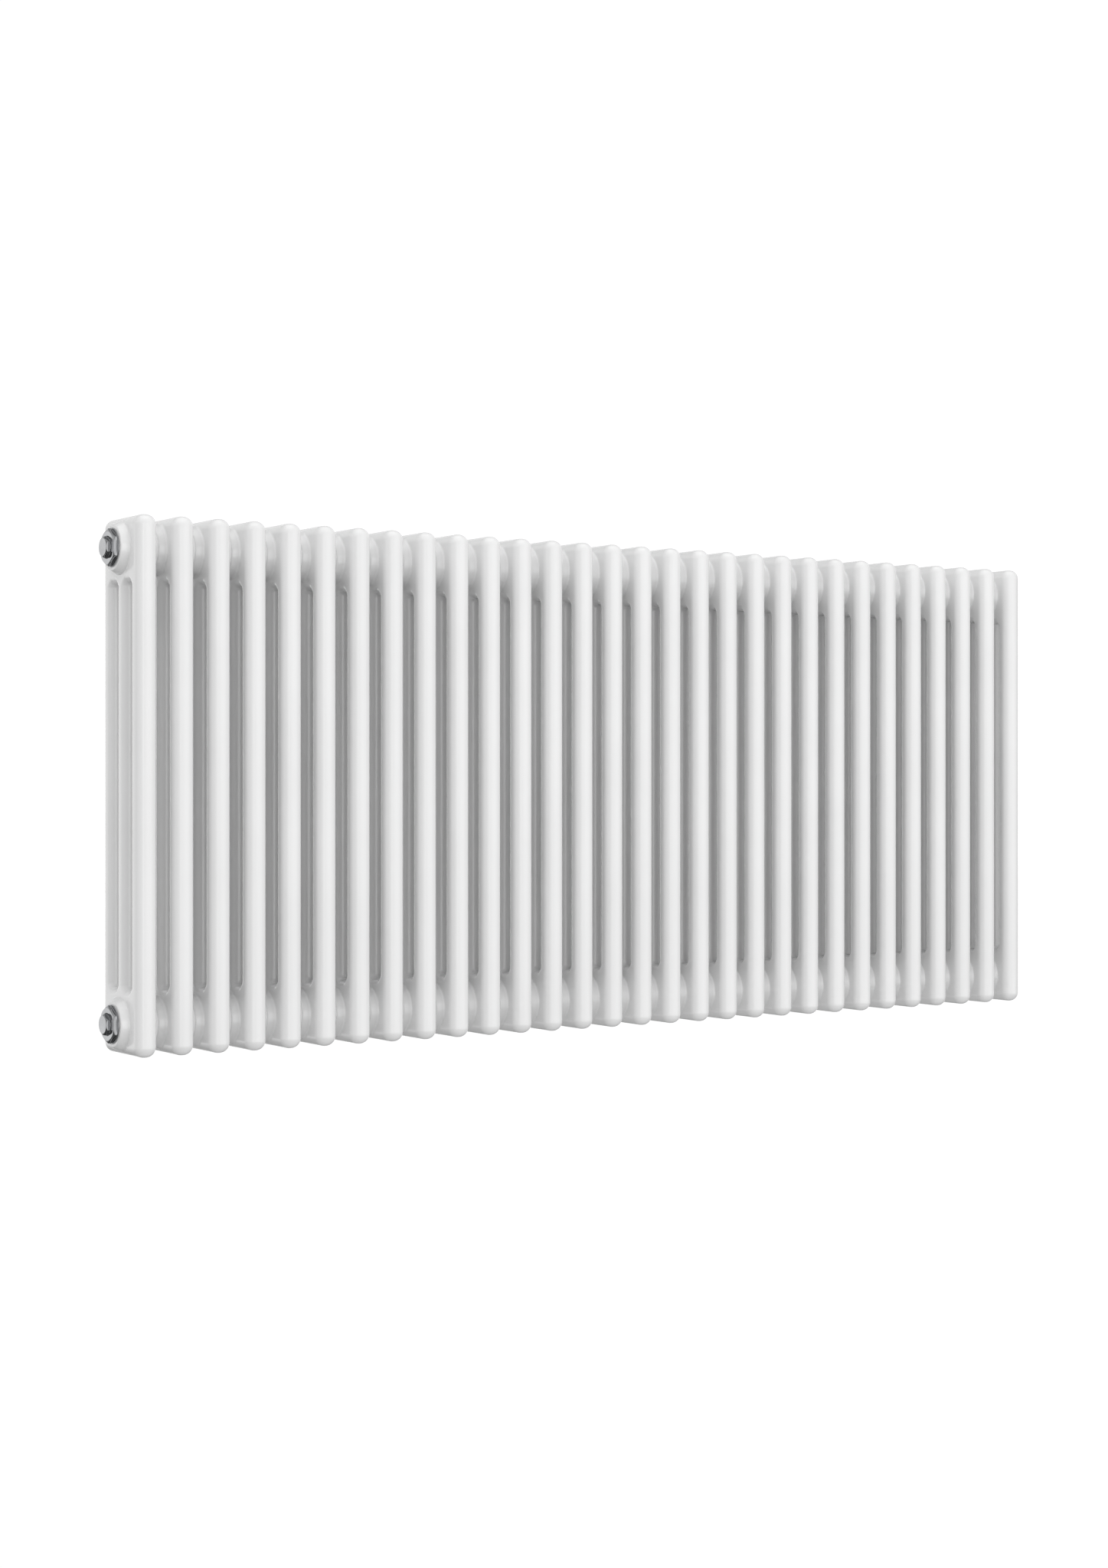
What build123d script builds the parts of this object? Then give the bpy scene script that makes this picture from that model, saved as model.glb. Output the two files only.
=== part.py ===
from build123d import *
import math
import os

# Wall-hung steel column radiator: identical three-column sections in a row,
# joined through their hubs, with a reducing bush in each of the four end ports.
# Two bushes hold blank plugs, one an air vent, and the bottom right one is open.
# Millimetres, +Z up, +X along the row of sections, +Y towards the wall.
# Origin: under the middle of the radiator, level with the sections' undersides.

# ------------------------------------------------------------ driving sizes
SECTIONS = 30            # sections in the row
PITCH = 45.0             # section to section
HEIGHT = 600.0           # underside to top
TUBE_R = 13.0            # outside radius of a column tube
HEAD_R = TUBE_R + 0.05   # half the head's thickness, a paint film over the tube
COLUMN_PITCH = 37.0      # tube to tube, front to back
COLUMNS = (-COLUMN_PITCH, 0.0, COLUMN_PITCH)
WALL = 1.2               # sheet and tube wall
HEAD = 100.0             # height of a pressed head, weld seam to crown
CROWN_R = 11.7           # rounding of the crown along the head
HUB_DROP = 35.0          # hub axis below the crown
HUB_HALF = 22.0          # hub face to section axis
HUB_BORE_R = 20.25       # G1 1/4 hub thread, held as its pitch cylinder

X_LAST = PITCH * (SECTIONS - 1) / 2
X_FIRST = -X_LAST
Z_TOP_HUB = HEIGHT - HUB_DROP
Z_BOTTOM_HUB = HUB_DROP

OVERCUT = 1.0            # how far a cutter runs past the face it opens
OVERLAP = 0.5            # how far one bore runs into the next


# ------------------------------------------------------------ helpers
def turned(points):
    """Solid of revolution about the X axis from (x, radius) points."""
    return revolve(make_face(Polyline(*points, close=True)), axis=Axis.X, revolution_arc=360)


def rod(start, end, radius):
    """Round bar on the X axis."""
    return Pos((start + end) / 2, 0, 0) * (Rot(0, 90, 0) * Cylinder(radius, end - start))


def ring(start, end, inner, outer):
    return rod(start, end, outer) - rod(start - OVERCUT, end + OVERCUT, inner)


def quarter_arc(start, centre, end):
    """Quarter circle, added to the line being built."""
    middle = [
        c + math.sqrt(0.5) * (s + e - 2 * c) for s, c, e in zip(start, centre, end)
    ]
    ThreePointArc(start, tuple(middle), end)


# ------------------------------------------------------------ pressed head
# Levels are measured down from the crown.
SLOT_HALF = 5.5          # half the gap between neighbouring tubes
SLOT_CENTRE = 79.0       # centre of the arch that closes the gap
SLOT_FLARE = 8.0         # rounding of the arch's edges
SLOT_REACH = TUBE_R + 3.0              # half the slot cutter's length along X
SLOT_DEPTH = HEAD - SLOT_CENTRE + 5.0  # cutter's run below the arch centre
TAPER_LOW = 97.0         # the legs' taper starts, inside the round leg
TAPER_HIGH = 75.5        # legs are full width from here up
TAPER_R0 = 12.4          # taper's radius at its low end
TAPER_R1 = 18.9          # and at its high end, past the leg's corners
TAPER_TOP_BOX = (60, 140, 100)         # clears the whole head above the taper
BODY_LOW = TAPER_LOW - 1.0             # the round-ended bar's underside
LEG_TOP = SLOT_CENTRE - 12.0           # the round legs end inside the head

# Hub; distances out are from the section's axis.
BOSS_R = 30.5            # raised ring where the hub meets the head
BOSS_OUT = 15.7          # its face
BOSS_ROUND = 1.6         # its outer edge
NECK_ROOT = 1.6          # hollow between the ring and the neck
FACE_R = 25.5            # hub's flat joint face
FACE_ROUND = 1.2         # its outer edge
NECK_R = FACE_R + FACE_ROUND


def stadium(z_low, z_high, inset):
    """Round-ended bar, front to back, with its top edge rounded."""
    width = 2 * (HEAD_R - inset)
    outline = Rot(0, 0, 90) * SlotOverall(2 * COLUMN_PITCH + width, width)
    body = extrude(Pos(0, 0, z_low) * outline, amount=z_high - z_low)
    top = body.faces().sort_by(Axis.Z)[-1]
    return fillet(top.edges(), CROWN_R - inset)


def slot_tool(inset):
    """Flared arch: the gap between two legs, opening out towards both sides."""
    half = SLOT_HALF + inset
    wide = SLOT_HALF + SLOT_FLARE
    flare_start = HEAD_R - SLOT_FLARE
    flare_end = flare_start + SLOT_FLARE - inset

    # A quarter of the gap seen from above, and half the arch's turned profile.
    with BuildSketch(Plane.XY) as outline:
        with BuildLine():
            Polyline((0, 0), (0, half), (flare_start, half))
            quarter_arc((flare_start, half), (flare_start, wide), (flare_end, wide))
            Polyline((flare_end, wide), (SLOT_REACH, wide), (SLOT_REACH, 0), (0, 0))
        make_face()

    arch = revolve(outline.sketch, axis=Axis.X, revolution_arc=360)
    arch = arch + mirror(arch, about=Plane.YZ)
    quarter = extrude(outline.sketch, amount=-SLOT_DEPTH)
    gap = quarter + mirror(quarter, about=Plane.YZ)
    gap = gap + mirror(gap, about=Plane.XZ)
    return Pos(0, 0, HEIGHT - SLOT_CENTRE) * (arch + gap)


def leg_taper(inset):
    """Everything a leg may fill as it widens from round to its full width."""
    low = HEIGHT - TAPER_LOW
    high = HEIGHT - TAPER_HIGH
    mask = Pos(0, 0, high + TAPER_TOP_BOX[2] / 2) * Box(*TAPER_TOP_BOX)
    for y in COLUMNS:
        cone = Cone(TAPER_R0 - inset, TAPER_R1 - inset, high - low)
        mask += Pos(0, y, (low + high) / 2) * cone
    return mask


def head_form(inset, z_low):
    """The head's outside, or with an inset the hollow inside it."""
    body = stadium(HEIGHT - BODY_LOW, HEIGHT - inset, inset)
    slot = slot_tool(inset)
    for y in (-COLUMN_PITCH / 2, COLUMN_PITCH / 2):
        body -= Pos(0, y, 0) * slot
    body = body & leg_taper(inset)
    z_high = HEIGHT - LEG_TOP
    for y in COLUMNS:
        body += Pos(0, y, (z_low + z_high) / 2) * Cylinder(TUBE_R - inset, z_high - z_low)
    return body


def hub_outside():
    """Both hub bosses as one turned piece on the X axis."""
    boss_x, boss_r = BOSS_OUT - BOSS_ROUND, BOSS_R - BOSS_ROUND
    root_x, root_r = BOSS_OUT + NECK_ROOT, NECK_R + NECK_ROOT
    face_x = HUB_HALF - FACE_ROUND
    with BuildSketch(Plane.XY) as profile:
        with BuildLine():
            Polyline((0, 0), (0, BOSS_R), (boss_x, BOSS_R))
            quarter_arc((boss_x, BOSS_R), (boss_x, boss_r), (BOSS_OUT, boss_r))
            Line((BOSS_OUT, boss_r), (BOSS_OUT, root_r))
            quarter_arc((BOSS_OUT, root_r), (root_x, root_r), (root_x, NECK_R))
            Line((root_x, NECK_R), (face_x, NECK_R))
            quarter_arc((face_x, NECK_R), (face_x, FACE_R), (HUB_HALF, FACE_R))
            Polyline((HUB_HALF, FACE_R), (HUB_HALF, 0), (0, 0))
        make_face()
    half = revolve(profile.sketch, axis=Axis.X, revolution_arc=360)
    return half + mirror(half, about=Plane.YZ)


def head():
    """Top head of a section, hollow and open below."""
    bottom = HEIGHT - HEAD
    bore_half = HUB_HALF + 2 * OVERCUT
    shell = head_form(0, bottom) + Pos(0, 0, Z_TOP_HUB) * hub_outside()
    shell -= head_form(WALL, bottom - OVERCUT)
    shell -= Pos(0, 0, Z_TOP_HUB) * rod(-bore_half, bore_half, HUB_BORE_R)
    return shell


def tube(y):
    length = HEIGHT - 2 * HEAD
    return Pos(0, y, HEIGHT / 2) * (
        Cylinder(TUBE_R, length) - Cylinder(TUBE_R - WALL, length + 2 * OVERCUT)
    )


# ------------------------------------------------------------ joint pieces
NIPPLE_R = 20.2          # joint nipple and bush thread, outside
NIPPLE_BORE_R = 16.5
NIPPLE_HALF = 13.5       # half its length
LUG_WIDTH = 6.0          # key lugs inside the nipple
LUG_HEIGHT = 2.2
LUG_ROOT = 0.8           # part of a lug sunk in the nipple's wall
GASKET_IN_R = 21.0
GASKET_OUT_R = 25.2
JOINT_GAP = PITCH - 2 * HUB_HALF   # room for one joint gasket


def nipple():
    body = ring(-NIPPLE_HALF, NIPPLE_HALF, NIPPLE_BORE_R, NIPPLE_R)
    lug = Box(2 * NIPPLE_HALF, LUG_WIDTH, LUG_HEIGHT + LUG_ROOT)
    for sign in (-1, 1):
        body += Pos(0, 0, sign * (NIPPLE_BORE_R + (LUG_ROOT - LUG_HEIGHT) / 2)) * lug
    return body


def joint_gasket():
    return ring(-JOINT_GAP / 2, JOINT_GAP / 2, GASKET_IN_R, GASKET_OUT_R)


# ------------------------------------------------------------ bushes and plugs
# End fittings point along +X, with x measured from the end section's axis.
BUSH_IN = 9.0            # inner end of the reducing bush
BUSH_LEAD = 1.2          # chamfer on its inner end
BUSH_SEAT = HUB_HALF + 0.6         # flange's inner face, a gasket off the hub
BUSH_FLANGE_R = 22.0
BUSH_FLANGE_OUT = 23.7
BUSH_FLANGE_CHAMFER = 0.4
BUSH_HEX = 37.0          # across flats
BUSH_OUT = 28.4          # outer face of the hexagon
BUSH_GASKET_IN_R = NIPPLE_R + 0.1
BUSH_GASKET_OUT_R = BUSH_FLANGE_R - 0.2
PORT_R = 9.3155          # G1/2 thread, minor radius
SEAT_R = 11.3            # counterbore for the plug's seal
SEAT_IN = 27.0
SEAL_OUT = 27.8
PLUG_THREAD_R = 9.28
PLUG_IN = 16.8
PLUG_LEAD = 1.0          # chamfer on its inner end
PLUG_COLLAR_R = 11.1
PLUG_COLLAR_OUT = 28.8
PLUG_HEX = 21.0          # across flats
PLUG_OUT = 33.6          # outer face of plugs and vent
PLUG_HOLLOW_R = 6.5      # blind hole in a blank plug's inner end
PLUG_HOLLOW_DEPTH = 7.0
SEAL_IN_R = PLUG_THREAD_R + 0.12
SEAL_OUT_R = SEAT_R - 0.2
HEX_ANGLE = math.radians(30)       # half a side's angle, and the chamfer's slope
HEX_FACE_INSET = 0.2     # chamfer's small circle, inside the flats
HEX_CORNER_MARGIN = 0.05           # chamfering cone's large circle, past the corners


def chamfered_hex(start, end, across):
    """Hexagonal bar along X, corners up and down, outer end's corners chamfered."""
    corner = across / 2 / math.cos(HEX_ANGLE)
    plane = Plane(origin=(start, 0, 0), x_dir=(0, 1, 0), z_dir=(1, 0, 0))
    angles = [math.radians(90 + 60 * i) for i in range(6)]
    points = [(corner * math.cos(angle), corner * math.sin(angle)) for angle in angles]
    face = plane * make_face(Polyline(*points, close=True))
    bar = extrude(face, amount=end - start, dir=(1, 0, 0))

    cone_r = corner + HEX_CORNER_MARGIN
    face_r = across / 2 - HEX_FACE_INSET
    cone_start = end - (cone_r - face_r) * math.tan(HEX_ANGLE)
    return bar & turned([
        (start, 0), (start, cone_r), (cone_start, cone_r), (end, face_r), (end, 0),
    ])


def bush():
    body = turned([
        (BUSH_IN, 0), (BUSH_IN, NIPPLE_R - BUSH_LEAD), (BUSH_IN + BUSH_LEAD, NIPPLE_R),
        (BUSH_SEAT, NIPPLE_R), (BUSH_SEAT, BUSH_FLANGE_R),
        (BUSH_FLANGE_OUT - BUSH_FLANGE_CHAMFER, BUSH_FLANGE_R),
        (BUSH_FLANGE_OUT, BUSH_FLANGE_R - BUSH_FLANGE_CHAMFER), (BUSH_FLANGE_OUT, 0),
    ])
    body += chamfered_hex(BUSH_FLANGE_OUT, BUSH_OUT, BUSH_HEX)
    body -= rod(BUSH_IN - OVERCUT, BUSH_OUT + OVERCUT, PORT_R)
    body -= rod(SEAT_IN, BUSH_OUT + OVERCUT, SEAT_R)
    return body


def bush_gasket():
    return ring(HUB_HALF, BUSH_SEAT, BUSH_GASKET_IN_R, BUSH_GASKET_OUT_R)


def plug_seal():
    return ring(SEAT_IN, SEAL_OUT, SEAL_IN_R, SEAL_OUT_R)


def plug_outside():
    """Thread, collar and hexagon shared by the blank plugs and the vent."""
    body = turned([
        (PLUG_IN, 0), (PLUG_IN, PLUG_THREAD_R - PLUG_LEAD),
        (PLUG_IN + PLUG_LEAD, PLUG_THREAD_R),
        (SEAL_OUT, PLUG_THREAD_R), (SEAL_OUT, PLUG_COLLAR_R),
        (PLUG_COLLAR_OUT, PLUG_COLLAR_R), (PLUG_COLLAR_OUT, 0),
    ])
    return body + chamfered_hex(PLUG_COLLAR_OUT, PLUG_OUT, PLUG_HEX)


def blank_plug():
    return plug_outside() - rod(PLUG_IN - OVERCUT, PLUG_IN + PLUG_HOLLOW_DEPTH, PLUG_HOLLOW_R)


# ------------------------------------------------------------ air vent
# A plug body with a swivel nozzle disc and a bleed screw; x as for the plugs.
NOZZLE_GAP = 0.1         # play between the nozzle and its pocket, along X
NOZZLE_R = 8.12
NOZZLE_POCKET_R = 8.2
NOZZLE_RIM_R = 8.65
NOZZLE_UNDERCUT_R = 8.75
NOZZLE_BACK = 31.4       # floor of the nozzle's pocket
NOZZLE_LIP = 32.3        # undercut ends here
NOZZLE_FACE = PLUG_OUT - NOZZLE_GAP
NOZZLE_CHAMFER = 0.4     # outer edge of its face
NOZZLE_HOLE_R = 4.0
NOZZLE_HOLE_CHAMFER = 0.3
GROOVE_IN_R = 5.0        # ring groove in the nozzle's back
GROOVE_OUT_R = 7.4
GROOVE_DEPTH = 0.8       # from the pocket's floor
SPOUT_DROP = 6.1         # outlet's distance below the axis
SPOUT_R = 0.8
SCREW_BORE_R = 3.0
SCREW_R = 2.95
SCREW_IN = 21.4
SCREW_LEAD = 0.5         # chamfer on its inner end
SCREW_SHOULDER = 29.6
SCREW_SQUARE = 5.0       # key square
SCREW_OUT = 33.2
SQUARE_TAPER = 1.0       # length of the square's chamfered end
SQUARE_MARGIN = 0.1      # chamfer's reach past the corners and inside the flats
AIR_WAY_WIDTH = 2.0      # groove along the top of the screw's thread
AIR_WAY_CUTTER = 1.8     # its cutter's height
AIR_WAY_Z = SCREW_R + 0.1          # its cutter's middle
AIR_WAY_EXTRA = 0.1      # its cutter's length beyond the thread's
SCREW_POCKET_R = 4.2
SCREW_POCKET_IN = 29.0
VALVE_SEAT = 20.0        # the soft tip closes on this shoulder
ORIFICE_R = 1.25
TIP_R = 2.1
STEM_R = 1.0             # tip's stem, inside the screw
STEM_DEPTH = 2.0
STEM_OVERLAP = 0.2       # how far it runs into the tip
STEM_HOLE_R = 1.05
STEM_HOLE_DEPTH = 2.2


def vent_body():
    body = plug_outside()
    body -= rod(NOZZLE_BACK, PLUG_OUT + OVERCUT, NOZZLE_POCKET_R)
    body -= rod(NOZZLE_BACK, NOZZLE_LIP, NOZZLE_UNDERCUT_R)
    body -= rod(SCREW_POCKET_IN, NOZZLE_BACK + OVERLAP, SCREW_POCKET_R)
    body -= rod(VALVE_SEAT, SCREW_POCKET_IN + OVERLAP, SCREW_BORE_R)
    body -= rod(PLUG_IN - OVERCUT, VALVE_SEAT + OVERLAP, ORIFICE_R)
    return body


def vent_nozzle():
    back = NOZZLE_BACK + NOZZLE_GAP
    rim_out = NOZZLE_LIP - NOZZLE_GAP
    body = turned([
        (back, NOZZLE_HOLE_R), (back, NOZZLE_RIM_R),
        (rim_out, NOZZLE_RIM_R), (rim_out, NOZZLE_R),
        (NOZZLE_FACE - NOZZLE_CHAMFER, NOZZLE_R), (NOZZLE_FACE, NOZZLE_R - NOZZLE_CHAMFER),
        (NOZZLE_FACE, NOZZLE_HOLE_R + NOZZLE_HOLE_CHAMFER),
        (NOZZLE_FACE - NOZZLE_HOLE_CHAMFER, NOZZLE_HOLE_R),
    ])
    body -= ring(NOZZLE_BACK, NOZZLE_BACK + GROOVE_DEPTH, GROOVE_IN_R, GROOVE_OUT_R)
    body -= Pos(0, 0, -SPOUT_DROP) * rod(NOZZLE_BACK, PLUG_OUT + OVERCUT, SPOUT_R)
    return body


def bleed_screw():
    body = turned([
        (SCREW_IN, 0), (SCREW_IN, SCREW_R - SCREW_LEAD), (SCREW_IN + SCREW_LEAD, SCREW_R),
        (SCREW_SHOULDER, SCREW_R), (SCREW_SHOULDER, 0),
    ])
    square = Pos((SCREW_SHOULDER + SCREW_OUT) / 2, 0, 0) * Box(
        SCREW_OUT - SCREW_SHOULDER, SCREW_SQUARE, SCREW_SQUARE
    )
    corner = SCREW_SQUARE / math.sqrt(2) + SQUARE_MARGIN
    body += square & turned([
        (SCREW_SHOULDER, 0), (SCREW_SHOULDER, corner), (SCREW_OUT - SQUARE_TAPER, corner),
        (SCREW_OUT, SCREW_SQUARE / 2 - SQUARE_MARGIN), (SCREW_OUT, 0),
    ])
    body -= rod(SCREW_IN - OVERCUT, SCREW_IN + STEM_HOLE_DEPTH, STEM_HOLE_R)
    # The groove lets the air past the thread.
    body -= Pos((SCREW_IN + SCREW_SHOULDER) / 2, 0, AIR_WAY_Z) * Box(
        SCREW_SHOULDER - SCREW_IN + AIR_WAY_EXTRA, AIR_WAY_WIDTH, AIR_WAY_CUTTER
    )
    return body


def bleed_screw_tip():
    stem = rod(SCREW_IN - STEM_OVERLAP, SCREW_IN + STEM_DEPTH, STEM_R)
    return rod(VALVE_SEAT, SCREW_IN, TIP_R) + stem


# ------------------------------------------------------------ assembly
def at_port(shape, side, z):
    """Puts an end fitting in the hub at height z of the left (-X) or right end."""
    if side == "left":
        return Pos(X_FIRST, 0, z) * (Rot(0, 0, 180) * shape)
    return Pos(X_LAST, 0, z) * shape


def export(name, shapes):
    """Writes all the shapes' solids as one named part."""
    solids = [solid for shape in shapes for solid in shape.solids()]
    export_step(Compound(label=name, children=solids), f"parts/{name}.step")


os.makedirs("parts", exist_ok=True)

top_head = head()
bottom_head = Pos(0, 0, HEIGHT) * (Rot(180, 0, 0) * top_head)
section = [top_head, bottom_head] + [tube(y) for y in COLUMNS]
for i in range(SECTIONS):
    place = Pos(X_FIRST + PITCH * i, 0, 0)
    export(f"section_{i + 1:02d}", [place * shape for shape in section])

joints_x = [X_FIRST + PITCH * (i + 0.5) for i in range(SECTIONS - 1)]
for level, z in (("top", Z_TOP_HUB), ("bottom", Z_BOTTOM_HUB)):
    for kind, piece in (("nipples", nipple()), ("gaskets", joint_gasket())):
        export(f"{level}_joint_{kind}", [Pos(x, 0, z) * piece for x in joints_x])
    for side in ("left", "right"):
        port = f"{level}_{side}"
        export(f"{port}_reducing_bush", [at_port(bush(), side, z)])
        export(f"{port}_bush_gasket", [at_port(bush_gasket(), side, z)])
    export(f"{level}_left_blank_plug", [at_port(blank_plug(), "left", z)])
    export(f"{level}_left_plug_seal", [at_port(plug_seal(), "left", z)])

for name, piece in (
    ("air_vent_seal", plug_seal()),
    ("air_vent_body", vent_body()),
    ("air_vent_nozzle", vent_nozzle()),
    ("bleed_screw", bleed_screw()),
    ("bleed_screw_tip", bleed_screw_tip()),
):
    export(name, [at_port(piece, "right", Z_TOP_HUB)])
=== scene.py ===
"""A column radiator: a row of white enamelled sections with plated end fittings.

The row runs along X, each section is three tubes deep along Y (the front is -Y),
and Z is up with the foot of the sections at 0.  The left end carries two blank
plugs, the right end an air vent in its top fitting.  Forms are worked out in
millimetres and the meshes are scaled to metres.
"""
import itertools
import math

import bmesh
import bpy
import numpy as np
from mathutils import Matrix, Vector


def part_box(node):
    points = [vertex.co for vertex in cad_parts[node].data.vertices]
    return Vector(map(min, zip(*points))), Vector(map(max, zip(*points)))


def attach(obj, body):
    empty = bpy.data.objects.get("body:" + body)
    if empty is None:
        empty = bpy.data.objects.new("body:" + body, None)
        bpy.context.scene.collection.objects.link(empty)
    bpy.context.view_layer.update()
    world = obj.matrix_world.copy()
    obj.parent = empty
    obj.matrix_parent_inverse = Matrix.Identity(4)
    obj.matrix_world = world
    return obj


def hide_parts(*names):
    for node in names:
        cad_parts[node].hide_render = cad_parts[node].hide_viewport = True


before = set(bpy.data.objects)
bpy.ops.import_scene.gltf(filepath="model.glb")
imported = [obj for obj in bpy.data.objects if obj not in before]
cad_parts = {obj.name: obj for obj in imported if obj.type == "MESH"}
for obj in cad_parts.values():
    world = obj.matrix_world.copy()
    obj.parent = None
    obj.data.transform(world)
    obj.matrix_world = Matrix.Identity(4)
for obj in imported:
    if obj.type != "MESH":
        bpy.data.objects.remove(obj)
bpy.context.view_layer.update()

MM = 0.001


# --------------------------------------------------------------------------
# Sizes read from the frame, in millimetres
# --------------------------------------------------------------------------
SECTIONS = sorted(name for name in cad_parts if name.startswith("section_"))
SECTION_BOXES = [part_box(name) for name in SECTIONS]
first_low, first_high = SECTION_BOXES[0]
nipples_low, nipples_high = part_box("top_joint_nipples")

CENTRES = [(low.x + high.x) / 2 / MM for low, high in SECTION_BOXES]
HEIGHT = first_high.z / MM
DEPTH = (first_high.y - first_low.y) / MM
HUB_HALF = (first_high.x - first_low.x) / 2 / MM
HUB_DROP = HEIGHT - (nipples_low.z + nipples_high.z) / 2 / MM
Z_HUB = HEIGHT - HUB_DROP


# --------------------------------------------------------------------------
# Distance functions: negative inside, in millimetres
# --------------------------------------------------------------------------
def length(*parts):
    total = 0.0
    for part in parts:
        total = total + part * part
    return np.sqrt(total)


def round_and(first, second, edge):
    """Intersection of two distances with an outside edge of radius edge."""
    return np.minimum(np.maximum(first + edge, second + edge), 0.0) + length(
        np.maximum(first + edge, 0.0), np.maximum(second + edge, 0.0)
    ) - edge


def blend_or(first, second, fillet):
    """Union with a hollow fillet of about the given radius."""
    near = np.maximum(fillet - np.abs(first - second), 0.0) / fillet
    return np.minimum(first, second) - near * near * near * fillet / 6.0


def smooth(value):
    value = np.clip(value, 0.0, 1.0)
    return value * value * (3 - 2 * value)


def gradient(sdf, points, step=0.02):
    slopes = np.empty_like(points)
    for axis in range(3):
        shift = np.zeros(3)
        shift[axis] = step
        slopes[:, axis] = (sdf(points + shift) - sdf(points - shift)) / (2 * step)
    return slopes


def normals_of(sdf, points):
    slopes = gradient(sdf, points)
    return slopes / np.maximum(length(*slopes.T), 1e-9)[:, None]


def settle_points(sdf, points, rounds, limit):
    """Draws points onto the true surface, at most half of limit in each round."""
    for _ in range(rounds):
        value = sdf(points)
        slopes = gradient(sdf, points)
        steepness = np.maximum((slopes * slopes).sum(1), 0.05)
        move = -(value / steepness)[:, None] * slopes
        far = length(*move.T)
        move *= np.minimum(1.0, limit * 0.5 / np.maximum(far, 1e-9))[:, None]
        points = points + move
    return points


# --------------------------------------------------------------------------
# Meshes from distance functions
# --------------------------------------------------------------------------
CORNERS = list(itertools.product((0, 1), repeat=3))


def surface(sdf, low, high, cell):
    """Surface nets: one point in each cell the surface crosses, quads between."""
    low, high = np.array(low, float), np.array(high, float)
    counts = np.ceil((high - low) / cell).astype(int) + 1
    axes = [low[i] + cell * np.arange(counts[i]) for i in range(3)]
    grid = np.empty(counts)
    for i, x in enumerate(axes[0]):
        y, z = np.meshgrid(axes[1], axes[2], indexing="ij")
        points = np.stack([np.full(y.size, x), y.ravel(), z.ravel()], 1)
        grid[i] = sdf(points).reshape(y.shape)
    inside = grid < 0

    corners_inside = np.zeros(counts - 1, np.int8)
    for corner in CORNERS:
        window = tuple(slice(corner[i], counts[i] - 1 + corner[i]) for i in range(3))
        corners_inside += inside[window].astype(np.int8)
    crossed = (corners_inside > 0) & (corners_inside < 8)
    index = np.full(crossed.shape, -1, np.int64)
    cells = np.argwhere(crossed)
    index[crossed] = np.arange(len(cells))

    # Each point is the mean of where the surface cuts its cell's edges.
    cut_sum = np.zeros((len(cells), 3))
    cut_count = np.zeros(len(cells))
    for start in CORNERS:
        for axis in range(3):
            if start[axis]:
                continue
            end = list(start)
            end[axis] = 1
            at_start = grid[tuple((cells + start).T)]
            at_end = grid[tuple((cells + end).T)]
            cut = (at_start < 0) != (at_end < 0)
            along = np.where(cut, at_start / np.where(cut, at_start - at_end, 1.0), 0.0)
            point = np.tile(np.array(start, float), (len(cells), 1))
            point[:, axis] += along
            cut_sum[cut] += point[cut]
            cut_count[cut] += 1
    points = low + cell * (cells + cut_sum / cut_count[:, None])

    faces = []
    for axis in range(3):
        across, up = [(1, 2), (2, 0), (0, 1)][axis]
        inner = [slice(None)] * 3
        inner[across] = inner[up] = slice(1, -1)
        near = np.take(inside, range(0, counts[axis] - 1), axis=axis)[tuple(inner)]
        far = np.take(inside, range(1, counts[axis]), axis=axis)[tuple(inner)]
        for crossing, flip in ((near & ~far, False), (~near & far, True)):
            edges = np.argwhere(crossing)
            if not len(edges):
                continue
            edges[:, across] += 1
            edges[:, up] += 1
            quad = []
            for step_across, step_up in ((-1, -1), (0, -1), (0, 0), (-1, 0)):
                corner = edges.copy()
                corner[:, across] += step_across
                corner[:, up] += step_up
                quad.append(index[tuple(corner.T)])
            quad = np.stack(quad, 1)
            faces.append(quad[:, ::-1] if flip else quad)
    return settle_points(sdf, points, 4, cell), np.concatenate(faces)


def make_mesh(name, points, faces):
    mesh = bpy.data.meshes.new(name)
    mesh.from_pydata(
        [tuple(point) for point in points], [], [tuple(int(i) for i in face) for face in faces]
    )
    mesh.update()
    return mesh


def thin_out(mesh, ratio):
    """Collapses edges where the surface is nearly flat."""
    obj = bpy.data.objects.new("thin_out", mesh)
    bpy.context.scene.collection.objects.link(obj)
    decimate = obj.modifiers.new("decimate", "DECIMATE")
    decimate.decimate_type = "COLLAPSE"
    decimate.ratio = ratio
    depsgraph = bpy.context.evaluated_depsgraph_get()
    thinned = bpy.data.meshes.new_from_object(obj.evaluated_get(depsgraph))
    bpy.data.objects.remove(obj)
    bpy.data.meshes.remove(mesh)
    return thinned


def points_of(mesh):
    flat = np.empty(len(mesh.vertices) * 3)
    mesh.vertices.foreach_get("co", flat)
    return flat.reshape(-1, 3)


def move_points(mesh, points):
    mesh.vertices.foreach_set("co", points.ravel())
    mesh.update()


def shade_from(mesh, normals):
    """Normals from the function itself keep reflections clean."""
    mesh.shade_smooth()
    mesh.normals_split_custom_set_from_vertices([tuple(normal) for normal in normals])


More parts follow.
